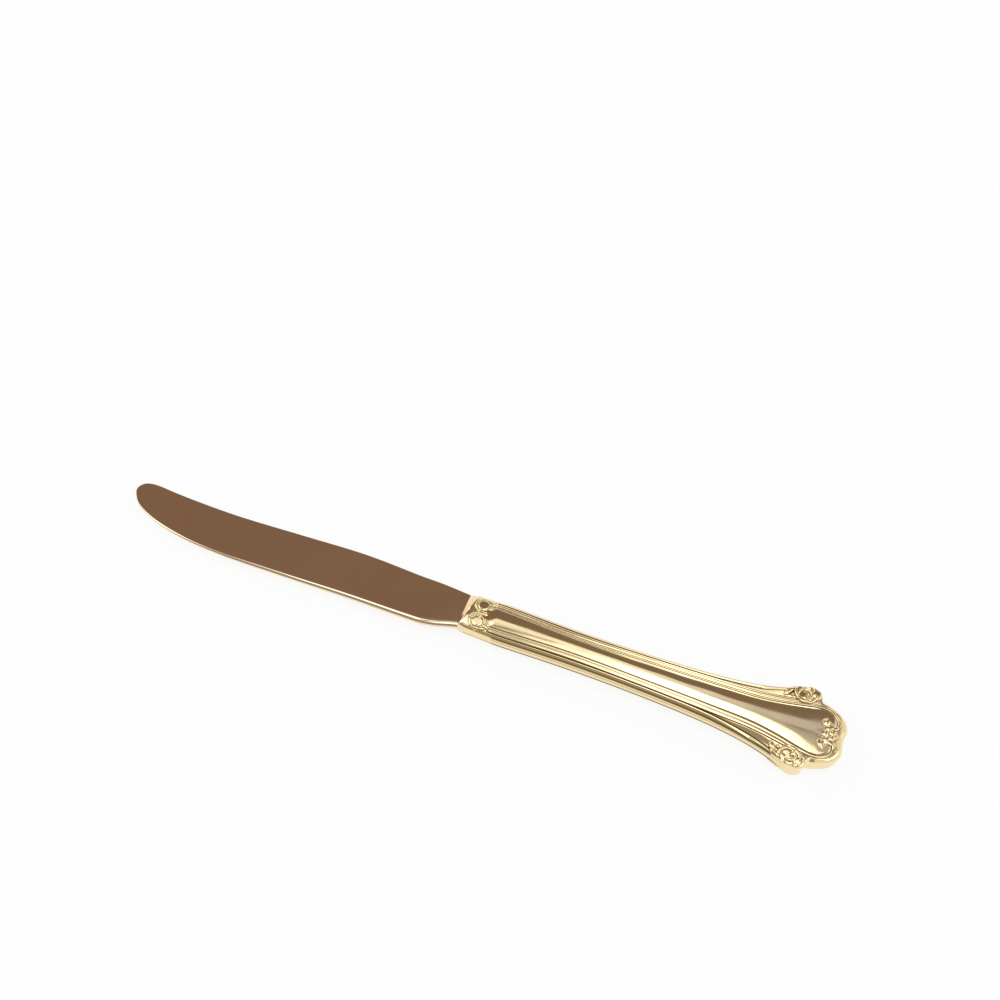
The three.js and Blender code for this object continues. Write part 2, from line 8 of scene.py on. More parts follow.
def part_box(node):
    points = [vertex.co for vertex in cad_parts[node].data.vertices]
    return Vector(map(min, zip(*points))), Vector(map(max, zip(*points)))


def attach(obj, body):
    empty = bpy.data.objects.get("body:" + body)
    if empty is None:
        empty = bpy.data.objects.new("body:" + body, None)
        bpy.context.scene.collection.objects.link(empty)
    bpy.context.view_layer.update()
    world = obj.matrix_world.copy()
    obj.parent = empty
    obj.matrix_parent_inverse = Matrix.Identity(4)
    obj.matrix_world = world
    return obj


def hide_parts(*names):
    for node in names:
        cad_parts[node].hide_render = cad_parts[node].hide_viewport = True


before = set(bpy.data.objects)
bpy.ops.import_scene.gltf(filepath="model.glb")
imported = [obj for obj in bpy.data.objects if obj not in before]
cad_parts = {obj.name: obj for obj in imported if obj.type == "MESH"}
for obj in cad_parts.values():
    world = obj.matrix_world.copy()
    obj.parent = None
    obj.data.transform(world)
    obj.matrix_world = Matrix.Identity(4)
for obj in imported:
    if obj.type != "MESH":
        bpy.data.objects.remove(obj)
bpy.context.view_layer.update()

# Handle halves
# Each half is sheet brass stamped in a die, so panel, threads, border, scroll ears and shell are one
# relief. The halves are soldered rim to rim, filed, polished and gold plated. Sizes are in millimetres.
shell_low, shell_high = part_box("front_handle_shell")
solder_low, solder_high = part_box("seam_solder")
mouth_x = shell_low.x * 1000
end_x = shell_high.x * 1000
seam_z = (solder_low.z + solder_high.z) * 500
seam_gap = (solder_high.z - solder_low.z) * 500
crown = 3.3
shell_wall = 0.8
crown_wall = 0.95
mouth_half = 6.1
thread_x = mouth_x + 7.4
collar_x = mouth_x + 11
ear_x = end_x - 14.6
ear_y = 10.6
flare_x = ear_x - 12.2
shaft = flare_x - collar_x
waist_x, swell_x, spread_x = (collar_x + share * shaft for share in (0.29, 0.58, 0.85))
notch_x = ear_x + 5.4
notch_half = 10.15
cap = end_x - notch_x
pole_x = notch_x - 0.6
end_dip = 0.7

# One row for each place on the far side, from the mouth to the end of the handle: x of the middle line,
# x and y of the panel edge, x and y of the outline, how square the section is, then the widths of the
# fine thread, the full thread and the border.
handle_rows = np.array([
    [mouth_x, mouth_x, 3.43, mouth_x, mouth_half, 4, 0.8, 1, 1.4],
    [thread_x, thread_x, 3.37, thread_x, 6.37, 4, 0.8, 1, 1.4],
    [collar_x, collar_x, 3.3, collar_x, 6.5, 4, 0.8, 1.05, 1.4],
    [waist_x, waist_x, 2.5, waist_x, 6.05, 4, 0.8, 1.2, 1.4],
    [swell_x, swell_x, 2.9, swell_x, 6.4, 4, 0.95, 1.1, 1.45],
    [spread_x, spread_x, 3.5, spread_x, 7.65, 4, 1.05, 1.15, 1.65],
    [flare_x, flare_x, 4.05, flare_x, 9.4, 4.5, 1.1, 1.15, 1.6],
    [ear_x - 5.12, ear_x - 5.12, 5.2, ear_x - 5.12, 11.3, 7, 1, 1.15, 1.2],
    [ear_x + 0.27, ear_x + 0.27, 6.4, ear_x + 0.27, 13.1, 12, 1, 0.8, 0.6],
    [ear_x + 2.43, ear_x + 2.81, 6.95, ear_x + 2.81, 13.25, 12, 0.95, 0.1, 0.6],
    [ear_x + 3.78, ear_x + 4.43, 7.25, ear_x + 4.43, 12.3, 12, 0.9, 0, 0.6],
    [pole_x, notch_x + 0.05 * cap, 7.4, notch_x, notch_half, 12, 0.9, 0, 0.6],
    [pole_x, notch_x + 0.28 * cap, 7.2, notch_x + 0.24 * cap, 9.5, 12, 0.9, 0, 0.6],
    [pole_x, notch_x + 0.55 * cap, 5.4, notch_x + 0.72 * cap, 7.45, 9, 0.75, 0, 0.6],
    [pole_x, notch_x + 0.6 * cap, 3.3, notch_x + 0.96 * cap, 4.3, 6, 0.6, 0, 0.6],
    [pole_x, notch_x + 0.45 * cap, 0, end_x - end_dip, 0, 6, 0.6, 0, 0.6],
])
rows_between = [36, 14, 18, 18, 18, 20, 40, 40, 24, 18, 16, 20, 26, 32, 34]
last_place = len(handle_rows) - 1
places = np.concatenate(
    [k + np.arange(count) / count for k, count in enumerate(rows_between)] + [[last_place]]
)


def smooth_line(points, places):
    """Points on a smooth line through the given ones, place 2.5 being half way from point 2 to point 3.

    Each stretch is a cubic whose slopes at its ends come from the points on both sides, weighted by the
    square root of their distances, so that close points don't make the line swing out.
    """
    padded = np.vstack([2 * points[0] - points[1], points, 2 * points[-1] - points[-2]])
    index = np.minimum(places.astype(int), len(points) - 2)
    share = (places - index)[:, None]
    a, b, c, d = (padded[index + k] for k in range(4))
    before, here, after = (
        np.sqrt(np.linalg.norm(q - p, axis=1))[:, None] for p, q in ((a, b), (b, c), (c, d))
    )
    too_close = 1e-4
    here = np.where(here < too_close, 1, here)
    before = np.where(before < too_close, here, before)
    after = np.where(after < too_close, here, after)
    start = here * ((b - a) / before - (c - a) / (before + here) + (c - b) / here)
    end = here * ((c - b) / here - (d - b) / (here + after) + (d - c) / after)
    bend = 3 * (c - b) - 2 * start - end
    twist = 2 * (b - c) + start + end
    return b + share * (start + share * (bend + share * twist))


def both_sides(far):
    """The far side's rail and, back from the end, the near side's."""
    return np.vstack([far, (far * (1, -1))[-2::-1]])


middle = smooth_line(both_sides(handle_rows[:, [0, 0]] * (1, 0)), places)
panel = smooth_line(both_sides(handle_rows[:, 1:3]), places)
outline = smooth_line(both_sides(handle_rows[:, 3:5]), places)
outline[-1, 1] = 0
panel[-1, 1] = 0
power, fine_width, full_width, border_width = (
    np.interp(places, np.arange(last_place + 1), handle_rows[:, k])[:, None] for k in (5, 6, 7, 8)
)

# Distances outwards in plan. Where the rim is narrow, threads and border shrink to leave a least cove.
rim_width = 0.45
least_cove = 0.05
panel_run = np.linalg.norm(panel - middle, axis=1)[:, None]
rim_run = np.linalg.norm(outline - panel, axis=1)[:, None]
total_run = panel_run + rim_run
fit = np.minimum(1, rim_run / (fine_width + full_width + border_width + least_cove))
fine_width, full_width, border_width = fine_width * fit, full_width * fit, border_width * fit
cove = rim_run - fine_width - full_width - border_width


def steps(count):
    """Even shares from 0 up to but not including 1, as one row."""
    return (np.arange(count) / count)[None, :]


def ramp(value):
    """0 below 0, 1 above 1, and between them three times the square less twice the cube."""
    value = np.clip(value, 0, 1)
    return value * value * (3 - 2 * value)


def oval(share, power):
    """Height of the plain half section over the share of the way out.

    That share and the height's share of the crown, each raised to the power, add up to 1, so a higher
    power makes the oval squarer.
    """
    return seam_gap + (crown - seam_gap) * np.clip(1 - share**power, 0, 1) ** (1 / power)


# Across the half: flat panel, a fine and a full thread, the cove, the border, which rolls over the corner,
# and the side wall, from its top down past the border's foot to the seam.
on_panel, on_fine, on_full, on_cove, on_border = steps(20), steps(16), steps(18), steps(24), steps(16)
border_foot = 1.1
foot_reach = 0.2
foot_heights = np.array([[0.2, 0.13, 0.06, 0, -0.06, -0.13, -0.2, -0.35, -0.7]]) + border_foot

# The threads fade out in the last stretch, at the end scroll, and the border fades out into the ear.
scroll_place, ear_place, ear_stretch = 14, 7.2, 0.8
end_fade = 1 - ramp(places - scroll_place)[:, None]
ear_fade = 1 - ramp((places - ear_place) / ear_stretch)[:, None]
rim_top = oval(1 - rim_width / total_run, power) * (1 - ear_fade) + foot_heights[0, 0] * ear_fade
wall_height = np.hstack([
    rim_top + (foot_heights[0, 0] - rim_top) * steps(6),
    foot_heights * np.ones_like(rim_top),
    seam_gap * np.ones_like(rim_top),
])
wall_run = total_run * (1 - ((wall_height - seam_gap) / (crown - seam_gap)) ** power) ** (1 / power)
first_turn, last_turn = math.radians(24), math.radians(80)
border_turn = first_turn + (last_turn - first_turn) * on_border
border_out = (np.sin(border_turn) - math.sin(first_turn)) / (math.sin(last_turn) - math.sin(first_turn))
border_down = (math.cos(first_turn) - np.cos(border_turn)) / (math.cos(first_turn) - math.cos(last_turn))
border_from = total_run - border_width
runs = np.hstack([
    panel_run * on_panel,
    panel_run + fine_width * on_fine,
    panel_run + fine_width + full_width * on_full,
    panel_run + fine_width + full_width + cove * on_cove,
    border_from + (wall_run[:, :1] - border_from) * border_out,
    wall_run,
])
panel_end = on_panel.size
cove_first = panel_end + on_fine.size + on_full.size
border_first = cove_first + on_cove.size
wall_first = border_first + on_border.size

# The border stands out from the side wall, with a shallow groove along its foot.
border_bulge, foot_groove = 0.1, 0.08
wall_bulge = ear_fade * (
    border_bulge * ramp((wall_height - border_foot) / foot_reach)
    - foot_groove * ramp(1 - np.abs(wall_height - border_foot) / foot_reach)
)
bulge = np.hstack([np.zeros((len(places), wall_first)), wall_bulge])
bulge[:, border_first:wall_first] = border_bulge * ear_fade * ramp(on_border)
inner_share = np.clip(runs / panel_run, 0, 1)[..., None]
outer_share = np.clip((runs - panel_run) / rim_run, 0, 1)[..., None]
outward = (outline - panel) / rim_run
plan = (
    middle[:, None]
    + (panel - middle)[:, None] * inner_share
    + (outline - panel)[:, None] * outer_share
    + outward[:, None] * bulge[..., None]
)
x, y = plan[..., 0], plan[..., 1]

# The mouth is chamfered down to the blade's heel. The chamfer's crest lies aslant, nearer the blade on
# the side of the cutting edge.
bolster_length = 2
heel_x = mouth_x - bolster_length
heel_thickness = 2.4
crest_run, crest_slant, least_crest_run = 1.75, 0.21, 0.4


def chamfer(x, y):
    """Height of the crown over the seam, a straight climb from half the heel's thickness to the crest."""
    climb = np.clip((x - heel_x) / np.maximum(crest_run + crest_slant * y, least_crest_run), 0, 1)
    return heel_thickness / 2 + (crown - heel_thickness / 2) * climb


plain = oval(runs / total_run, power)
far_plain = seam_gap + (plain - seam_gap) * chamfer(x, y) / crown
near_plain = seam_gap + (plain - seam_gap) * chamfer(x, -y) / crown

# Threads, cove and border over the plain section. Towards the ears the cove falls to a lower border.
groove = 0.14
groove_reach = 0.25
panel_rise, panel_edge_drop, panel_groove_share = 0.35, 0.85, 0.06
cove_dip = 0.06
border_groove_from, border_groove_share = 0.04, 0.07


def bead(share, inner_depth, outer_depth):
    """Height of a thread across its width.

    A parabola makes its low round top, and on each side a ramp drops into a narrow groove.
    """
    top, groove_share = 0.06, 0.25
    return (
        top * (1 - (2 * share - 1) ** 2)
        - inner_depth * (1 - ramp(share / groove_share))
        - outer_depth * (1 - ramp((1 - share) / groove_share))
    )


fall_places, falls = [4.6, 5, 6, 7], [0, 0.15, 0.8, 0.8]
cove_fall = ear_fade * np.interp(places, fall_places, falls)[:, None]
inner_groove = np.clip(1 - cove * on_cove / groove_reach, 0, 1)
outer_groove = ear_fade * np.clip(1 - cove * (1 - on_cove) / groove_reach, 0, 1)
cove_groove = np.maximum(inner_groove, outer_groove)
cove_hollow = cove_dip * ear_fade * 4 * on_cove * (1 - on_cove)
border_top = plain[:, border_first:border_first + 1]
border_groove = ear_fade * groove * (1 - ramp((on_border - border_groove_from) / border_groove_share))
border_roll = border_top + (rim_top - border_top) * border_down - plain[:, border_first:wall_first]
border_roll = ear_fade * border_roll - cove_fall * (1 - border_down)
panel_groove = groove * ramp((on_panel - (1 - panel_groove_share)) / panel_groove_share)
relief = np.hstack([
    panel_rise * (1 - panel_edge_drop * on_panel**2) - panel_groove * np.ones_like(total_run),
    end_fade * bead(on_fine, groove, 0.5 * groove),
    end_fade * bead(on_full, 0.5 * groove, groove) * np.minimum(1, 2 * full_width),
    end_fade * (-groove * cove_groove - cove_hollow) - cove_fall * ramp(on_cove),
    border_roll - border_groove,
    np.zeros_like(wall_height),
])

# The panel rises slowly out of the mouth, and the threads and the border's foot start further on.
panel_start_x, panel_start_run = mouth_x + 3, 6
border_start_x = thread_x + 1.8
start_run = 0.5
panel_start = ramp((x - panel_start_x) / panel_start_run)
thread_start = ramp((x - thread_x) / start_run)
border_start = ramp((x - border_start_x) / start_run)
relief[:, :panel_end] *= panel_start[:, :panel_end]
relief[:, panel_end:border_first] *= thread_start[:, panel_end:border_first]


def ridge(path, half_width, rise, flat=2):
    """A rounded ridge over the plan, as the highest of round-topped discs set close along the path.

    A disc's height is its rise times the square root of 1 less the share of the way out raised to the power
    flat, so a higher power makes its top flatter. The ridge comes as two layers: the height, and how far
    inside its foot each point lies.
    """
    path = np.atleast_2d(path)
    away = np.hypot(x[..., None] - path[:, 0], y[..., None] - path[:, 1])
    top = (rise * np.sqrt(np.clip(1 - (away / half_width) ** flat, 0, 1))).max(-1)
    return np.stack([top, (half_width - away).max(-1)])


def leaf(from_x, points, half_width, rise):
    """A ridge along a smooth line, pointed at both ends: width and rise follow a sine from end to end."""
    share = np.linspace(0, 1, 70)
    tip = 0.15
    swell = tip + (1 - tip) * np.sin(math.pi * share) ** 0.8
    line = smooth_line(np.array(points, float) + (from_x, 0), share * (len(points) - 1))
    return ridge(line, half_width * swell, rise * swell)


# Mouth ornament: a boss in a crescent scroll on each side, leaves along it and a drop between.
boss_x, boss_y, boss_radius, boss_rise = mouth_x + 3.7, 2.9, 1.8, 0.2
crescent_start, crescent_end = 80, 280
crescent_radius, crescent_half, crescent_rise, crescent_tip = 2.35, 0.36, 0.22, 0.4
crescent_share = np.linspace(0, 1, 70)
crescent_turn = np.radians(crescent_start + (crescent_end - crescent_start) * crescent_share)
crescent_path = np.column_stack([
    boss_x + crescent_radius * np.cos(crescent_turn), boss_y + crescent_radius * np.sin(crescent_turn)
])
crescent_swell = crescent_tip + (1 - crescent_tip) * np.sin(math.pi * crescent_share)
forms = [
    ridge((boss_x, boss_y), boss_radius, boss_rise, flat=12),
    ridge(crescent_path, crescent_half * crescent_swell, crescent_rise * crescent_swell),
    leaf(mouth_x, [[1.9, 4.7], [3.4, 5.2], [5.2, 5.1], [7, 4.5]], 0.5, 0.3),
    leaf(mouth_x, [[5.4, 3.4], [6.6, 3.9], [8.2, 4.4]], 0.5, 0.32),
    leaf(mouth_x, [[2.9, 0.6], [3.4, 1.3], [4.2, 1.5], [4.7, 1]], 0.3, 0.24),
    leaf(mouth_x, [[4.3, 0], [5.2, 0], [6.1, 0]], 0.45, 0.24),
    leaf(mouth_x, [[5.2, 2], [6.2, 2.3], [7.2, 2.9]], 0.35, 0.22),
]

# Scroll ears: the full thread winds out into a raised volute over sunk ground, with a drop on it, a hooked
# leaf and a pearl in front of it and a round lobe behind it.
volute_start, volute_sweep = -125, 600
volute_outer, volute_shrink, shrink_from, shrink_over = 3, 2.1, 0.45, 0.6
volute_long, volute_wide = 1.06, 0.96
volute_half, volute_taper, volute_rise = 0.5, 0.06, 0.42
volute_share = np.linspace(0, 1, 240)
volute_turn = np.radians(volute_start + volute_sweep * volute_share)
volute_radius = volute_outer - volute_shrink * ramp((volute_share - shrink_from) / shrink_over)
volute_path = np.column_stack([
    ear_x + volute_long * volute_radius * np.cos(volute_turn),
    ear_y + volute_wide * volute_radius * np.sin(volute_turn),
])
sunk_radius, sunk_slope, sunk_depth = 3.2, 0.4, 0.16
from_ear = np.hypot(x - ear_x, y - ear_y)
ear_sunk = -sunk_depth * ramp((sunk_radius - from_ear) / sunk_slope)
forms += [
    ridge(volute_path, volute_half - volute_taper * volute_share, volute_rise),
    leaf(ear_x, [[0.5, 8.5], [1, 9.3], [0.5, 10.2]], 0.5, 0.45),
    leaf(ear_x, [[-5.9, 7.9], [-5.3, 9.2], [-4.4, 10.7], [-3.2, 12]], 0.8, 0.45),
    ridge((ear_x - 3.6, 8.8), 0.5, 0.3),
    ridge((ear_x + 3.2, 11.2), 1.6, 0.4, flat=3),
]

# Handle end: each thread turns back into a small scroll, and a lobed shell stands between the two. A lobe
# has its place from the end, its place aside and its radius.
lobes = ((-6.4, 0, 1.05), (-5.75, 1.8, 1), (-4.3, 0.8, 0.95), (-3.3, 0, 0.7), (-6.8, 3.5, 1.1))
lobe_rise = 0.42
forms.append(leaf(end_x, [[-3.2, 4.2], [-3.3, 3], [-4.5, 2.4], [-5.9, 2.7], [-6.9, 3.4]], 0.65, 0.36))
for place, aside, radius in lobes:
    forms.append(ridge((end_x + place, aside), radius, lobe_rise * radius, flat=3))
ornament, inside_foot = np.maximum.reduce(forms)

# A chased line runs round the foot of each raised form. Ground and lines end short of the outline.
chased_depth, chased_reach, chased_shift = 0.12, 0.15, 0.03
line_margin, ground_margin, least_rise = 0.3, 0.4, 0.01
to_outline = total_run - runs
chased = ramp(1 - np.abs(inside_foot + chased_shift) / chased_reach) * ramp(to_outline / line_margin)
raised = ornament > least_rise
ground = relief + ear_sunk * ramp(to_outline / ground_margin) - chased_depth * chased
rise_over_plain = np.where(raised, np.maximum(relief, ornament), ground)

# The bracket end has a rounded shoulder, which the side wall takes up.
shoulder_width, shoulder_depth = 1.4, 0.7
shoulder_place, shoulder_stretch = 10.6, 0.5
shoulder = np.clip(1 - to_outline / shoulder_width, 0, 1) ** 2
wall_share = (plain[:, wall_first:] - seam_gap) / (rim_top - seam_gap)
shoulder[:, wall_first:] = shoulder[:, wall_first:wall_first + 1] * np.minimum(wall_share, 1)
rise_over_plain -= shoulder_depth * ramp((places - shoulder_place) / shoulder_stretch)[:, None] * shoulder
rise_over_plain[:, -1] = 0

# Painted shade, from 0 to 1: the gold's colour is darkened in the grooves, in the chased lines, and along
# the border's foot and the middle of its roll, where a painted dark line stands in for shade. The same share
# also makes these places rougher, as plate that the mop didn't reach.
painted_rim_shade = np.zeros_like(runs)
roll_middle, roll_reach, roll_spread, roll_dark = 0.62, 0.2, 1.2, 0.7
foot_spread, foot_dark, chased_dark = 1.5, 0.9, 0.75
from_roll = np.abs(on_border - roll_middle) / roll_reach
from_foot = np.abs(wall_height - border_foot) / foot_reach
painted_rim_shade[:, border_first:wall_first] = roll_dark * ear_fade * ramp(roll_spread - from_roll)
painted_rim_shade[:, wall_first:] = foot_dark * ear_fade * ramp(foot_spread - from_foot)
painted_rim_shade *= border_start
depth = -relief
depth[:, cove_first:border_first] = end_fade * groove * cove_groove
depth[:, border_first:wall_first] = border_groove
depth[:, cove_first:wall_first] *= thread_start[:, cove_first:wall_first]
# Painted shade begins at the first groove depth and is full at the second.
unshaded_depth, full_shade_depth = 0.03, 0.09
groove_share = (depth - unshaded_depth) / (full_shade_depth - unshaded_depth)
painted_shade = np.clip(np.maximum.reduce([groove_share, chased_dark * chased, painted_rim_shade]), 0, 1)

# Hand polishing leaves the flats faintly uneven, a few microns over several millimetres.
wave_count, wave_height = 6, 0.003
waves = np.random.default_rng(7)
lengths = waves.uniform(5, 13, wave_count)
leans = waves.uniform(0, math.pi, wave_count)
shifts = waves.uniform(0, 6, wave_count)
for length, lean, shift in zip(lengths, leans, shifts):
    wave = np.sin(2 * math.pi * (x * math.cos(lean) + y * math.sin(lean)) / length + shift)
    rise_over_plain += wave_height * wave * (1 - (runs / total_run) ** 6)

# Inside: the rim's width at the seam, then a plain oval hollow up to the middle.
inside_share = np.array([1, 0.97, 0.9, 0.75, 0.5, 0.25, 0])[None, :]
inside_power = 4
flat_outline = np.column_stack([outline[:, 0], np.minimum(outline[:, 1], notch_half)])
reach = np.linalg.norm(flat_outline - middle, axis=1)[:, None]
inside_outline = middle + (flat_outline - middle) * (1 - shell_wall / reach)
inside_plan = middle[:, None] + (inside_outline - middle)[:, None] * inside_share[..., None]
inside_arch = (1 - inside_share**inside_power) ** (1 / inside_power)
inside_height = seam_gap + (crown - crown_wall - seam_gap) * inside_arch * np.ones_like(reach)
far_half, near_half = (
    np.dstack([
        np.hstack([x, inside_plan[..., 0]]),
        np.hstack([side * y, side * inside_plan[..., 1]]),
        np.hstack([side_plain + rise_over_plain, inside_height]),
    ])
    for side, side_plain in ((1, far_plain), (-1, near_plain))
)
# The inside of each half takes full painted shade.
half_painted_shade = np.hstack([painted_shade, np.ones_like(inside_height)])


def add_mesh(name, points, triangles, caps=(), painted_shade=None):
    """An object of that name from points in millimetres, triangles and caps, smooth but for its sharp edges.

    Points that fall together become one, and triangles that lose a side by it are left out.
    """
    spots, first, spot_of = np.unique(np.round(points, 4), axis=0, return_index=True, return_inverse=True)
    spot_of = spot_of.ravel()
    triangles = spot_of[triangles]
    a, b, c = triangles.T
    triangles = triangles[(a != b) & (b != c) & (c != a)]
    loops = [spot_of[cap].tolist() for cap in caps]
    mesh = bpy.data.meshes.new(name)
    mesh.from_pydata((spots * 0.001).tolist(), [], triangles.tolist() + loops)
    # The painted shade is kept as a point layer, which the gold's colour and roughness read.
    if painted_shade is not None:
        values = mesh.attributes.new("painted_shade", "FLOAT", "POINT").data
        values.foreach_set("value", painted_shade[first].astype(np.float32))
    mesh.shade_smooth()
    mesh.set_sharp_from_angle(angle=math.radians(62))
    piece = bpy.data.objects.new(name, mesh)
    bpy.context.scene.collection.objects.link(piece)
    return piece


def grid_faces(rows, columns, first=0, flip=False):
    """Two triangles for each square of a grid of points kept row by row from the given first one."""
    corner = first + (np.arange(rows - 1)[:, None] * columns + np.arange(columns - 1)).ravel()
    lower = np.column_stack([corner, corner + columns, corner + columns + 1])
    upper = np.column_stack([corner, corner + columns + 1, corner + 1])
    triangles = np.vstack([lower, upper])
    return triangles[:, ::-1] if flip else triangles


rows, columns = far_half.shape[:2]
count = rows * columns
far_and_near = np.vstack([far_half.reshape(-1, 3), near_half.reshape(-1, 3)])
mouth_loop = np.arange(columns)
front_triangles = np.vstack([grid_faces(rows, columns), grid_faces(rows, columns, count, True)])
front_caps = [mouth_loop, count + mouth_loop[::-1]]
both_painted_shade = np.tile(half_painted_shade.ravel(), 2)
front = add_mesh("front_half", far_and_near + (0, 0, seam_z), front_triangles, front_caps, both_painted_shade)
back = add_mesh(
    "back_half",
    far_and_near * (1, 1, -1) + (0, 0, seam_z),
    front_triangles[:, ::-1],
    [loop[::-1] for loop in front_caps],
    both_painted_shade,
)


def colour(code):
    """Linear colour of an sRGB hex code."""
    parts = [int(code[k:k + 2], 16) / 255 for k in (1, 3, 5)]
    return [p / 12.92 if p <= 0.04045 else ((p + 0.055) / 1.055) ** 2.4 for p in parts] + [1]


def add(tree, kind, inputs, **settings):
    """Adds a node with its settings and its inputs, each a value or the socket that feeds it."""
    node = tree.nodes.new(kind)
    for name, value in settings.items():
        setattr(node, name, value)
    for name, value in inputs.items():
        if isinstance(value, bpy.types.NodeSocket):
            tree.links.new(value, node.inputs[name])
        else:
            node.inputs[name].default_value = value
    return node


def new_material(name):
    """An empty node material and its tree."""
    material = bpy.data.materials.new(name)
    material.use_nodes = True
    material.node_tree.nodes.clear()
    return material, material.node_tree


# Bright gold plate that mirrors the room, with painted shade: browner in the grooves, the chased lines and
# along the border, where it is also duller, as the mop didn't reach there.
# A pattern's scale is 1000 over its size in millimetres. The polishing hairs, 9 by 0.3 mm, are drawn coarser
# than real ones so that they show.
gold_plate, tree = new_material("polished_gold_plate")
coordinates = add(tree, "ShaderNodeTexCoord", {}).outputs["Object"]
hair_lines = add(
    tree, "ShaderNodeMapping", {"Vector": coordinates, "Scale": (1000 / 9, 1000 / 0.3, 1000 / 0.3)}
)
hairs = add(
    tree, "ShaderNodeTexNoise", {"Vector": hair_lines.outputs["Vector"], "Scale": 1.0, "Detail": 2.0}
)
smears = add(tree, "ShaderNodeTexNoise", {"Vector": coordinates, "Scale": 1000 / 11, "Detail": 3.0})
painted_shade_share = add(tree, "ShaderNodeAttribute", {}, attribute_name="painted_shade").outputs["Fac"]
# Painted shade: the plate's colour falls to a dark brown where the painted shade layer is high.
gold_with_painted_shade = add(
    tree, "ShaderNodeMix", {"Factor": painted_shade_share, "A": colour("#F6E1AE"), "B": colour("#5E4A26")}, data_type="RGBA"
)
shine = add(
    tree, "ShaderNodeMapRange",
    {"Value": smears.outputs["Fac"], "From Min": 0.3, "From Max": 0.7, "To Min": 0.05, "To Max": 0.11},
)
groove_roughness = 0.12
dull = add(
    tree, "ShaderNodeMath", {0: painted_shade_share, 1: groove_roughness, 2: shine.outputs["Result"]},
    operation="MULTIPLY_ADD",
)
scratch = add(
    tree, "ShaderNodeBump", {"Height": hairs.outputs["Fac"], "Strength": 1.0, "Distance": 0.0000015}
)
surface = add(tree, "ShaderNodeBsdfPrincipled", {
    "Base Color": gold_with_painted_shade.outputs["Result"],
    "Metallic": 1.0,
    "Roughness": dull.outputs["Value"],
    "Normal": scratch.outputs["Normal"],
})
add(tree, "ShaderNodeOutputMaterial", {"Surface": surface.outputs["BSDF"]})

for piece, node in ((front, "front_handle_shell"), (back, "back_handle_shell")):
    piece.data.materials.append(gold_plate)
    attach(piece, "root")
    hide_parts(node)

# Solder line
# The thin line of silver solder that joins the rims of the two halves. It is filed flush with the side
# wall and plated over with them, so it shows as a hair line.
solder_depth, solder_swell = 0.9, 0.003
solder_section = np.array([
    [-solder_depth, -1], [0, -1], [solder_swell, -0.5], [solder_swell, 0.5], [0, 1], [-solder_depth, 1],
    [-solder_depth, -1],
])
solder_plan = outline[:, None] + outward[:, None] * solder_section[None, :, :1]
solder_height = seam_z + seam_gap * solder_section[None, :, 1] * np.ones((rows, 1))
solder_points = np.dstack([solder_plan, solder_height]).reshape(-1, 3)
solder_count = len(solder_points)
around = len(solder_section)
solder = add_mesh(
    "solder_line",
    np.vstack([solder_points, solder_points * (1, -1, 1)]),
    np.vstack([grid_faces(rows, around), grid_faces(rows, around, solder_count, True)]),
    [np.arange(around - 1), solder_count + np.arange(around - 1)[::-1]],
)

# Gold over solder, a little redder and softer than the plate on brass. Its file grain of 0.4 mm is drawn
# coarser than a real one so that it shows.
gilt_solder, tree = new_material("gold_over_solder")
coordinates = add(tree, "ShaderNodeTexCoord", {}).outputs["Object"]
grain = add(tree, "ShaderNodeTexNoise", {"Vector": coordinates, "Scale": 1000 / 0.4, "Detail": 2.0})
solder_colour = add(
    tree, "ShaderNodeMix",
    {"Factor": grain.outputs["Fac"], "A": colour("#EACF96"), "B": colour("#F2DAA4")}, data_type="RGBA",
)
file_marks = add(
    tree, "ShaderNodeBump", {"Height": grain.outputs["Fac"], "Strength": 1.0, "Distance": 0.000002}
)
surface = add(tree, "ShaderNodeBsdfPrincipled", {
    "Base Color": solder_colour.outputs["Result"],
    "Metallic": 1.0,
    "Roughness": 0.14,
    "Normal": file_marks.outputs["Normal"],
})
add(tree, "ShaderNodeOutputMaterial", {"Surface": surface.outputs["BSDF"]})
solder.data.materials.append(gilt_solder)
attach(solder, "root")
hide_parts("seam_solder")

# Handle cement
# Resin poured into the hollow handle, which sets round the tang and holds it. It lies wholly inside, so
# the construction's own solid is kept.
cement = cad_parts["handle_cement"]

# Dull brown resin with paler filler in it, in grains of 1.5 mm.
resin, tree = new_material("filled_resin")
coordinates = add(tree, "ShaderNodeTexCoord", {}).outputs["Object"]
filler = add(tree, "ShaderNodeTexNoise", {"Vector": coordinates, "Scale": 1000 / 1.5, "Detail": 4.0})
resin_colour = add(
    tree, "ShaderNodeMix",
    {"Factor": filler.outputs["Fac"], "A": colour("#6B543A"), "B": colour("#A08A68")}, data_type="RGBA",
)
surface = add(
    tree, "ShaderNodeBsdfPrincipled", {"Base Color": resin_colour.outputs["Result"], "Roughness": 0.8}
)
add(tree, "ShaderNodeOutputMaterial", {"Surface": surface.outputs["BSDF"]})
cement.data.materials.clear()
cement.data.materials.append(resin)

# Blade
# Forged stainless steel, one piece with the bolster and the tang. It is ground flat on both faces,
# rounded to a blunt edge, mirror polished and gold plated. The tang sits in the cement.
blade_low, blade_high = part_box("blade")
tip_x = blade_low.x * 1000
tang_end_x = blade_high.x * 1000
blade_length = heel_x - tip_x
blade_width = 16.4
heel_half, heel_offset = 5.95, -0.1
tip_thickness = 0.9

# Share of the length from the tip, and the spine and the cutting edge as shares of the width.
blade_rows = np.array([
    [0, 0.185, 0.15], [0.0015, 0.24, 0.104], [0.005, 0.285, 0.06], [0.0106, 0.325, 0],
    [0.0175, 0.354, -0.06], [0.03, 0.38, -0.143], [0.056, 0.39, -0.25], [0.1, 0.366, -0.378],
    [0.19, 0.338, -0.518], [0.31, 0.329, -0.585], [0.5, 0.387, -0.576], [0.69, 0.445, -0.546],
    [0.86, 0.402, -0.543],
])

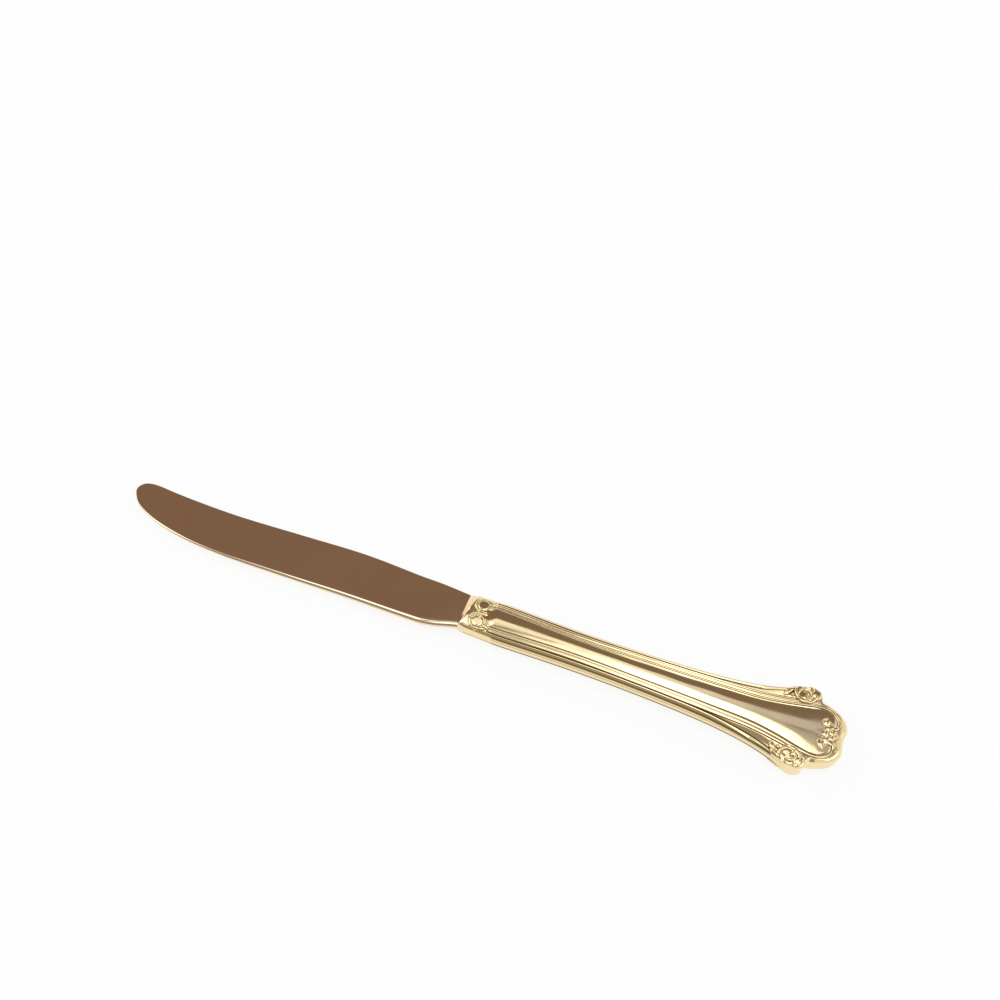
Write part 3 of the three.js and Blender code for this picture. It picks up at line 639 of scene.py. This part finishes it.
# Both curves then draw in to the heel: share of the length, and share of the way in.
heel_rows = np.array([[0.905, 0.05], [0.947, 0.36], [0.977, 0.74], [1, 1]])
spine_end, edge_end = blade_rows[-1, 1:] * blade_width
heel_spine = spine_end + (heel_offset + heel_half - spine_end) * heel_rows[:, 1]
heel_edge = edge_end + (heel_offset - heel_half - edge_end) * heel_rows[:, 1]
stations = np.concatenate([blade_rows[:, 0], heel_rows[:, 0]]) * blade_length + tip_x
spine_points = np.concatenate([blade_rows[:, 1] * blade_width, heel_spine])
edge_points = np.concatenate([blade_rows[:, 2] * blade_width, heel_edge])
curve_places = np.linspace(0, len(stations) - 1, 1500)
spine_line = smooth_line(np.column_stack([stations, spine_points]), curve_places)
edge_line = smooth_line(np.column_stack([stations, edge_points]), curve_places)

# Rows lie closer together at the tip and at the heel.
tip_share, heel_share = 0.06, 0.88
blade_x = tip_x + blade_length * np.concatenate([
    tip_share * np.linspace(0, 1, 60, endpoint=False) ** 2,
    np.linspace(tip_share, heel_share, 90, endpoint=False),
    np.linspace(heel_share, 1, 50),
])[:, None]
from_tip = blade_x - tip_x
spine = np.interp(blade_x, spine_line[:, 0], spine_line[:, 1])
edge = np.interp(blade_x, edge_line[:, 0], edge_line[:, 1])
width = spine - edge
half_thick = (tip_thickness + (heel_thickness - tip_thickness) * from_tip / blade_length) / 2

# The back is rounded, and the bevel widens quickly from the tip and then slowly as far as the heel.
spine_radius, spine_limit, spine_power = 0.1, 0.25, 0.7
tip_bevel, quick_gain, quick_run, slow_gain, bevel_limit = 0.15, 0.6, 22, 0.65, 0.45
spine_round = np.minimum(spine_radius, spine_limit * width)
edge_round = tip_bevel + quick_gain * ramp(from_tip / quick_run) + slow_gain * from_tip / blade_length
edge_round = np.minimum(edge_round, bevel_limit * width)

# Columns run over one face from the spine to the edge: rounded back, flat, rounded bevel.
back_share, face_share, bevel_share = steps(10), steps(14), np.linspace(0, 1, 18)[None, :]
back_turn, bevel_turn = back_share * math.pi / 2, bevel_share * math.pi / 2
from_spine = np.hstack([
    spine_round * (1 - np.cos(back_turn)),
    spine_round + (width - spine_round - edge_round) * face_share,
    width - edge_round * (1 - np.sin(bevel_turn)),
])
lift = np.hstack([
    np.sin(back_turn) ** spine_power * np.ones_like(width),
    np.ones_like(width * face_share),
    np.cos(bevel_turn) * np.ones_like(width),
])
face_count = from_spine.shape[1]
blade_y = spine - from_spine
blade_z = half_thick * np.clip(lift, 0, 1)


def squared_oval(turns, power):
    """Half of a squared oval: cosine and sine of the turn, each raised to 2 over the power."""
    out = np.cos(turns)
    return np.sign(out) * np.abs(out) ** (2 / power), np.abs(np.sin(turns)) ** (2 / power)


# Bolster: from a rounded oblong as thin as the heel to the oval of the handle mouth.
bolster_share = np.array([0, 0.02, 0.1, 0.25, 0.4, 0.55, 0.7, 0.85, 0.95, 1])[:, None]
bolster_step, heel_power, mouth_power = 0.25, 7, 4
bolster_start = heel_half - bolster_step
bolster_half = bolster_start + (mouth_half - bolster_start) * bolster_share
turns = np.linspace(0, math.pi, face_count)[None, :]
out, up = squared_oval(turns, heel_power + (mouth_power - heel_power) * bolster_share)
bolster_x = heel_x + bolster_length * bolster_share
bolster_y = heel_offset * (1 - bolster_share) + bolster_half * out
bolster_z = chamfer(bolster_x, bolster_y) * up

# Tang: a flat bar with rounded corners that narrows to its end, where it is closed.
tang_half_width, tang_tip_half_width, tang_half_thickness, tang_power = 2.8, 1.6, 1.1, 10
tang_share = np.array([0, 0.5, 0.95, 1, 1])[:, None]
closing = np.array([1, 1, 1, 0.85, 0])[:, None]
out, up = squared_oval(turns, tang_power)
tang_x = mouth_x + (tang_end_x - mouth_x) * tang_share
tang_y = (tang_half_width + (tang_tip_half_width - tang_half_width) * tang_share) * closing * out
tang_z = tang_half_thickness * closing * up
face_grid = np.dstack([
    np.vstack([blade_x, bolster_x, tang_x]) * np.ones((1, face_count)),
    np.vstack([blade_y, bolster_y, tang_y]),
    np.vstack([blade_z, bolster_z, tang_z]),
])
row_count = len(face_grid)
face_points = face_grid.reshape(-1, 3)
blade = add_mesh(
    "blade_and_bolster",
    np.vstack([face_points, face_points * (1, 1, -1)]) + (0, 0, seam_z),
    np.vstack([
        grid_faces(row_count, face_count, 0, True), grid_faces(row_count, face_count, len(face_points))
    ]),
)

# Mirror-bright gold over steel, a little pinker than the handle, with the faint cloud of a wiped surface.
# The polishing lines along the blade, 30 by 0.35 mm, are drawn coarser than real ones so that they show.
blade_gold, tree = new_material("mirror_gold_on_steel")
coordinates = add(tree, "ShaderNodeTexCoord", {}).outputs["Object"]
lines = add(
    tree, "ShaderNodeMapping", {"Vector": coordinates, "Scale": (1000 / 30, 1000 / 0.35, 1000 / 0.35)}
)
polish = add(tree, "ShaderNodeTexNoise", {"Vector": lines.outputs["Vector"], "Scale": 1.0, "Detail": 3.0})
cloud = add(tree, "ShaderNodeTexNoise", {"Vector": coordinates, "Scale": 1000 / 18, "Detail": 4.0})
blade_colour = add(
    tree, "ShaderNodeMix",
    {"Factor": cloud.outputs["Fac"], "A": colour("#F0D9B6"), "B": colour("#F5E1C1")}, data_type="RGBA",
)
gloss = add(
    tree, "ShaderNodeMapRange",
    {"Value": cloud.outputs["Fac"], "From Min": 0.3, "From Max": 0.7, "To Min": 0.05, "To Max": 0.1},
)
brushing = add(
    tree, "ShaderNodeBump", {"Height": polish.outputs["Fac"], "Strength": 1.0, "Distance": 0.000001}
)
surface = add(tree, "ShaderNodeBsdfPrincipled", {
    "Base Color": blade_colour.outputs["Result"],
    "Metallic": 1.0,
    "Roughness": gloss.outputs["Result"],
    "Normal": brushing.outputs["Normal"],
})
add(tree, "ShaderNodeOutputMaterial", {"Surface": surface.outputs["BSDF"]})
blade.data.materials.append(blade_gold)
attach(blade, "root")
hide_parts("blade")

# Floor
# A plain white sheet of paper under the knife, 6 metres wide so that it fills the view. It glows where it
# is seen, so that it stays white and the shadow on it is faint.
half = 3
floor_mesh = bpy.data.meshes.new("floor")
floor_mesh.from_pydata(
    [(-half, -half, 0), (half, -half, 0), (half, half, 0), (-half, half, 0)], [], [(0, 1, 2, 3)]
)
floor = bpy.data.objects.new("floor", floor_mesh)
bpy.context.scene.collection.objects.link(floor)

# White paper with a faint cloud of fibres, 2 mm across.
paper, tree = new_material("pale_paper")
coordinates = add(tree, "ShaderNodeTexCoord", {}).outputs["Object"]
fibre = add(tree, "ShaderNodeTexNoise", {"Vector": coordinates, "Scale": 1000 / 2, "Detail": 2.0})
paper_colour = add(
    tree, "ShaderNodeMix",
    {"Factor": fibre.outputs["Fac"], "A": colour("#FDFDFD"), "B": colour("#FEFEFE")}, data_type="RGBA",
)
surface = add(tree, "ShaderNodeBsdfDiffuse", {"Color": paper_colour.outputs["Result"]})
glow = add(tree, "ShaderNodeEmission", {"Color": (1, 1, 1, 1), "Strength": 1.0})
rays = add(tree, "ShaderNodeLightPath", {}).outputs
seen = rays["Is Camera Ray"]
for ray in ("Is Glossy Ray", "Is Transmission Ray"):
    seen = add(tree, "ShaderNodeMath", {0: seen, 1: rays[ray]}, operation="MAXIMUM").outputs["Value"]
full_glow = 0.85
glow_share = add(tree, "ShaderNodeMath", {0: seen, 1: full_glow}, operation="MULTIPLY").outputs["Value"]
white = add(
    tree, "ShaderNodeMixShader", {0: glow_share, 1: surface.outputs["BSDF"], 2: glow.outputs["Emission"]}
)
add(tree, "ShaderNodeOutputMaterial", {"Surface": white.outputs["Shader"]})
floor.data.materials.append(paper)

# Light
# A room for the gold to mirror. The far wall is white with a taller window, and dim above and at its right
# end, and the near side is dim. A broad lamp hangs askew overhead, with a pale edge, a dark frame and a
# bright tube across it, and a soft box stands on each side.
world = bpy.data.worlds.new("white_room")
bpy.context.scene.world = world
world.use_nodes = True
tree = world.node_tree
tree.nodes.clear()
direction = add(tree, "ShaderNodeTexCoord", {}).outputs["Generated"]
along, across, upward = add(tree, "ShaderNodeSeparateXYZ", {"Vector": direction}).outputs
level = add(tree, "ShaderNodeVectorMath", {0: direction, 1: (1, 1, 0)}, operation="MULTIPLY")
compass = add(tree, "ShaderNodeVectorMath", {0: level.outputs["Vector"]}, operation="NORMALIZE")
compass_parts = add(tree, "ShaderNodeSeparateXYZ", {"Vector": compass.outputs["Vector"]}).outputs
compass_along, compass_across = compass_parts["X"], compass_parts["Y"]
to_side = add(tree, "ShaderNodeMath", {0: compass_along}, operation="ABSOLUTE").outputs["Value"]

# Heights that lean along the room, for the parts of the lamp that hang askew.
edge_height, frame_height, shade_height = (
    add(tree, "ShaderNodeMath", {0: along, 1: lean, 2: upward}, operation="MULTIPLY_ADD").outputs["Value"]
    for lean in (0.12, 0.25, 0.28)
)


def height_of(degrees):
    """Upward part of a direction at that angle over the floor."""
    return math.sin(math.radians(degrees))


# Where each part of the room begins: 0 at the first value, 1 from the second on, and a straight blend
# between them. Then the parts that are bounded on several sides.
covers = {}
for name, value, none, full in (
    ("far side", across, -0.15, 0.15),
    ("above walls", upward, height_of(33.5), height_of(36)),
    ("window", along, -0.1, -0.02),
    ("past window", along, 0.005, 0.04),
    ("above window", upward, height_of(44), height_of(47)),
    ("right side", compass_along, 0.4, 0.55),
    ("sideways", to_side, 0.7, 0.8),
    ("not far", compass_across, 0.45, 0.3),
    ("box foot", upward, height_of(16), height_of(24)),
    ("box head", upward, height_of(62), height_of(54)),
    ("lamp edge", edge_height, 0.87, 0.88),
    ("right end", along, -0.08, 0.06),
    ("frame", frame_height, 0.927, 0.929),
    ("past frame", shade_height, 0.939, 0.941),
    ("lamp", upward, height_of(69.5), height_of(70.5)),
    ("tube", along, -0.14, -0.06),
    ("past tube", along, 0.02, 0.1),
    ("left lamp", along, -0.185, -0.215),
):
    cover = add(tree, "ShaderNodeMapRange", {"Value": value, "From Min": none, "From Max": full})
    covers[name] = cover.outputs["Result"]
for name, operation, start, *bounds in (
    ("boxes", "MULTIPLY", "sideways", "not far", "box foot", "box head"),
    ("window top", "SUBTRACT", "window", "past window", "above window"),
    ("whole frame", "SUBTRACT", "frame", "past frame"),
    ("tube glare", "SUBTRACT", "tube", "past tube"),
):
    covers[name] = covers[start]
    for bound in bounds:
        inputs = {0: covers[name], 1: covers[bound]}
        bounded = add(tree, "ShaderNodeMath", inputs, operation=operation, use_clamp=True)
        covers[name] = bounded.outputs["Value"]

# The tube outshines most of the frame where it passes over it.
glare = 0.8
unlit = add(tree, "ShaderNodeMath", {0: covers["tube glare"], 1: -glare, 2: 1.0}, operation="MULTIPLY_ADD")
frame_cover = add(
    tree, "ShaderNodeMath", {0: covers["whole frame"], 1: unlit.outputs["Value"]}, operation="MULTIPLY"
).outputs["Value"]

# Each layer is a mix of what lies under its cover and what lies over it, a light or an earlier layer.
near_dim = (0.34, 0.31, 0.26, 1)
window_light = (2.3, 2.3, 2.4, 1)
sky = {}
for name, under, cover, over in (
    ("far wall", (1.15, 1.15, 1.15, 1), covers["window"], window_light),
    ("far wall end", "far wall", covers["past window"], (0.36, 0.28, 0.22, 1)),
    ("walls", near_dim, covers["far side"], "far wall end"),
    ("far dim", (0.21, 0.153, 0.133, 1), covers["left lamp"], (0.22, 0.145, 0.112, 1)),
    ("window top", "far dim", covers["window top"], window_light),
    ("dim", near_dim, covers["far side"], "window top"),
    ("edge", (1.07, 1.07, 1.1, 1), covers["right end"], (0.58, 0.56, 0.68, 1)),
    ("left lamp", (0.86, 0.86, 0.92, 1), covers["left lamp"], (1.9, 2, 2.2, 1)),
    ("tube", "left lamp", covers["tube"], (2.4, 2.4, 2.5, 1)),
    ("lamp", "tube", covers["past tube"], (1.25, 1.25, 1.35, 1)),
    ("room", "walls", covers["above walls"], "dim"),
    ("right wall", "room", covers["right side"], (0.86, 0.82, 0.76, 1)),
    ("boxes", "right wall", covers["boxes"], (2, 2.04, 2.08, 1)),
    ("to edge", "boxes", covers["lamp edge"], "edge"),
    ("to shade", "to edge", covers["past frame"], (0.45, 0.44, 0.48, 1)),
    ("to lamp", "to shade", covers["lamp"], "lamp"),
    ("all", "to lamp", frame_cover, (0.2, 0.18, 0.15, 1)),
):
    inputs = {"Factor": cover, "A": sky.get(under, under), "B": sky.get(over, over)}
    sky[name] = add(tree, "ShaderNodeMix", inputs, data_type="RGBA").outputs["Result"]
background = add(tree, "ShaderNodeBackground", {"Color": sky["all"], "Strength": 1.0})
add(tree, "ShaderNodeOutputWorld", {"Surface": background.outputs["Background"]})

# Camera
# It looks down on the knife from the side of the cutting edge, turned a little towards the tip, with a
# lens of 45 mm on a sensor of 36 mm. Here distances are in metres.
camera_data = bpy.data.cameras.new("camera")
camera_data.lens = 45
camera_data.sensor_width = 36
camera = bpy.data.objects.new("camera", camera_data)
bpy.context.scene.collection.objects.link(camera)
elevation, azimuth, distance = math.radians(57), math.radians(21.5), 0.412
look_at = Vector((-0.00584, 0.0428, seam_z * 0.001))
back_axis = Vector((
    math.sin(azimuth) * math.cos(elevation), -math.cos(azimuth) * math.cos(elevation), math.sin(elevation)
))
right_axis = Vector((math.cos(azimuth), math.sin(azimuth), 0))
up_axis = back_axis.cross(right_axis)
turned = Matrix((right_axis, up_axis, back_axis)).transposed().to_4x4()
camera.matrix_world = Matrix.Translation(look_at + back_axis * distance) @ turned
bpy.context.scene.camera = camera
bpy.context.scene.view_settings.view_transform = "Standard"
